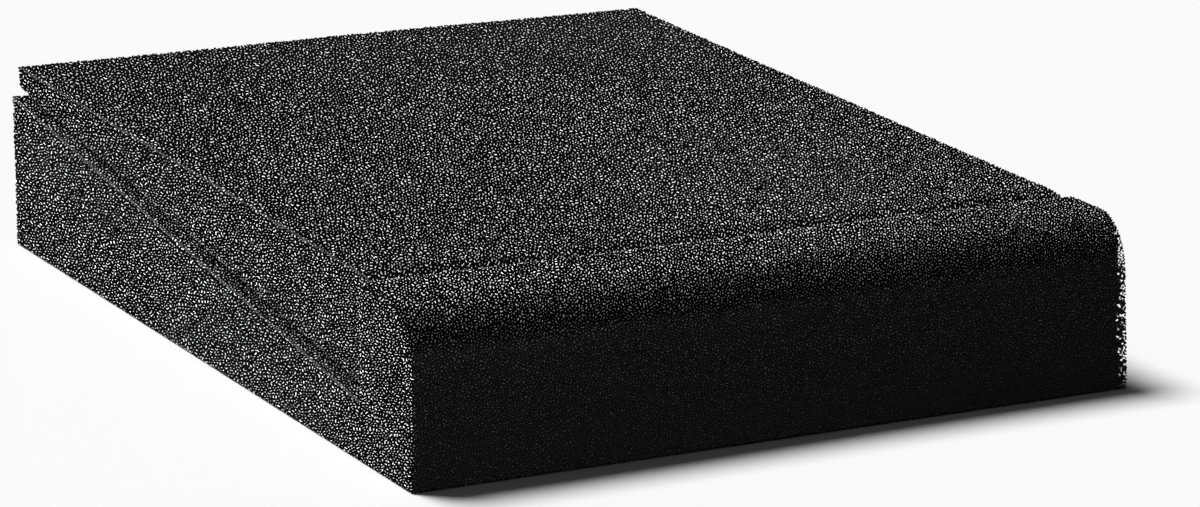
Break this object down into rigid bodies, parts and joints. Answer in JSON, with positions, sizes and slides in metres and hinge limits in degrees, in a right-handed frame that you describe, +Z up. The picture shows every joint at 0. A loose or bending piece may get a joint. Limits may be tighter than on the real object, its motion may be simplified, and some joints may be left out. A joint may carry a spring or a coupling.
{
  "type": "speaker isolation pad",
  "caption": "Foam isolation pad for a desktop loudspeaker: a sloped base block with a raised stop lip across the front and a loose foam wedge that levels or tilts the speaker.",
  "frame": {"origin": "centre of the base block's flat underside, on the surface the pad stands on", "axes": "+Z up, +Y towards the back of the pad, away from the stop lip, +X to the right seen from the front"},
  "size_m": [0.202, 0.2773, 0.0508],
  "materials": {
    "base_foam": "matte",
    "wedge_foam": "matte"
  },
  "bodies": {
    "base": {"base_block": "base_foam"},
    "wedge": {"wedge_insert": "wedge_foam"}
  },
  "joints": [
    {"name": "wedge_lift", "type": "slide", "parent": "base", "child": "wedge", "axis": [0, 0, 1], "range_m": [0, 0.06]}
  ]
}
